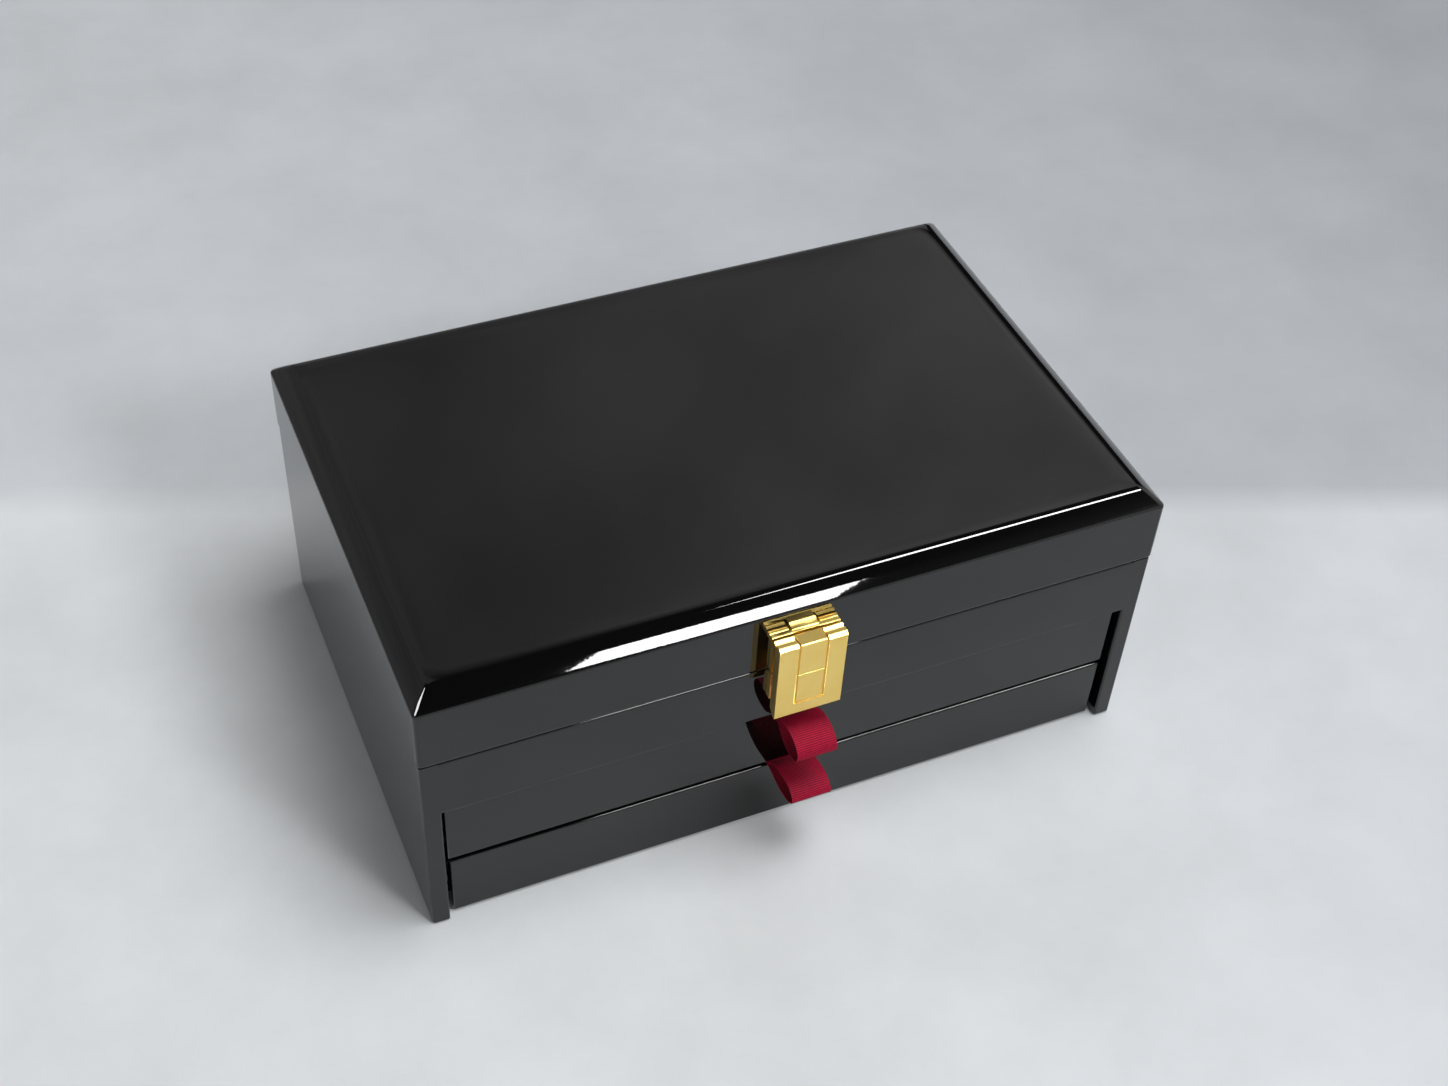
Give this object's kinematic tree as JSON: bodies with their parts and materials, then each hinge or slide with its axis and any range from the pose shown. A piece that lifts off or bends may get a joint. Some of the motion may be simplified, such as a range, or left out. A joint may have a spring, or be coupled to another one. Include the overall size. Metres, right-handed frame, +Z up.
{
  "type": "jewelry box",
  "caption": "Tiered jewelry box in black lacquer with a hinged bevelled lid, a drop-flap clasp, a lined top tray and stacked drawers with ribbon pulls.",
  "frame": {"origin": "on the surface the box stands on, under the middle of the carcass", "axes": "+X along the front to the viewer's right, +Y towards the back, +Z up"},
  "size_m": [0.3, 0.2203, 0.128],
  "materials": {
    "black_lacquer": "high-gloss black piano lacquer on fibreboard",
    "dark_wood": "satin black paint",
    "fibreboard": "raw",
    "velvet": "black velvet",
    "grosgrain": "ribbed dark red ribbon",
    "felt": "black felt",
    "gold_metal": "satin gold plate",
    "steel": "plain",
    "magnet": "nickel plated",
    "mirror": "polished"
  },
  "bodies": {
    "carcass": {"back_panel": "black_lacquer", "base_felt": "felt", "bottom_board": "dark_wood", "clasp_body_plate": "gold_metal", "clasp_body_screws": "gold_metal", "clasp_magnet": "magnet", "compartment_floor": "dark_wood", "drawer_guides": "dark_wood", "drawer_shelf": "dark_wood", "drawer_stops": "dark_wood", "floor_lining": "velvet", "hinge_leaf_body_left": "gold_metal", "hinge_leaf_body_right": "gold_metal", "hinge_pins": "gold_metal", "hinge_screws_body": "gold_metal", "ring_rolls": "velvet", "side_panel_left": "black_lacquer", "side_panel_right": "black_lacquer", "top_rail": "black_lacquer", "tray_divider_cross": "velvet", "tray_divider_main": "velvet", "tray_dividers_short": "velvet", "wall_lining": "velvet"},
    "lid": {"clasp_lid_plate": "gold_metal", "clasp_lid_screws": "gold_metal", "hinge_leaf_lid_left": "gold_metal", "hinge_leaf_lid_right": "gold_metal", "hinge_screws_lid": "gold_metal", "lid_lining_board": "fibreboard", "lid_mirror": "mirror", "lid_mirror_frame": "velvet", "lid_rail_back": "black_lacquer", "lid_rail_front": "black_lacquer", "lid_rail_left": "black_lacquer", "lid_rail_right": "black_lacquer", "lid_side_lining": "velvet", "lid_top_panel": "black_lacquer"},
    "clasp_flap": {"clasp_flap_shell": "gold_metal", "clasp_face_plate": "gold_metal", "clasp_tongue": "gold_metal", "clasp_keeper": "steel", "clasp_hinge_pin": "gold_metal"},
    "upper_drawer": {"upper_drawer_back": "dark_wood", "upper_drawer_bottom": "dark_wood", "upper_drawer_divider_long": "velvet", "upper_drawer_dividers_short": "velvet", "upper_drawer_front": "black_lacquer", "upper_drawer_lining": "velvet", "upper_drawer_ribbon_pull": "grosgrain", "upper_drawer_ribbon_staples": "steel", "upper_drawer_side_left": "dark_wood", "upper_drawer_side_right": "dark_wood"},
    "lower_drawer": {"lower_drawer_back": "dark_wood", "lower_drawer_bottom": "dark_wood", "lower_drawer_front": "black_lacquer", "lower_drawer_lining": "velvet", "lower_drawer_ribbon_pull": "grosgrain", "lower_drawer_ribbon_staples": "steel", "lower_drawer_side_left": "dark_wood", "lower_drawer_side_right": "dark_wood"}
  },
  "joints": [
    {"name": "lid_hinge", "type": "hinge", "parent": "carcass", "child": "lid", "pos_m": [0, 0.1003, 0.0936], "axis": [-1, 0, 0], "range_deg": [0, 100]},
    {"name": "clasp_flap_hinge", "type": "hinge", "parent": "lid", "child": "clasp_flap", "pos_m": [-0.004, -0.1058, 0.1131], "axis": [-1, 0, 0], "range_deg": [0, 95]},
    {"name": "upper_drawer_slide", "type": "slide", "parent": "carcass", "child": "upper_drawer", "axis": [0, -1, 0], "range_m": [0, 0.13], "deforming": ["lower_drawer_ribbon_pull"]},
    {"name": "lower_drawer_slide", "type": "slide", "parent": "carcass", "child": "lower_drawer", "axis": [0, -1, 0], "range_m": [0, 0.13]}
  ]
}
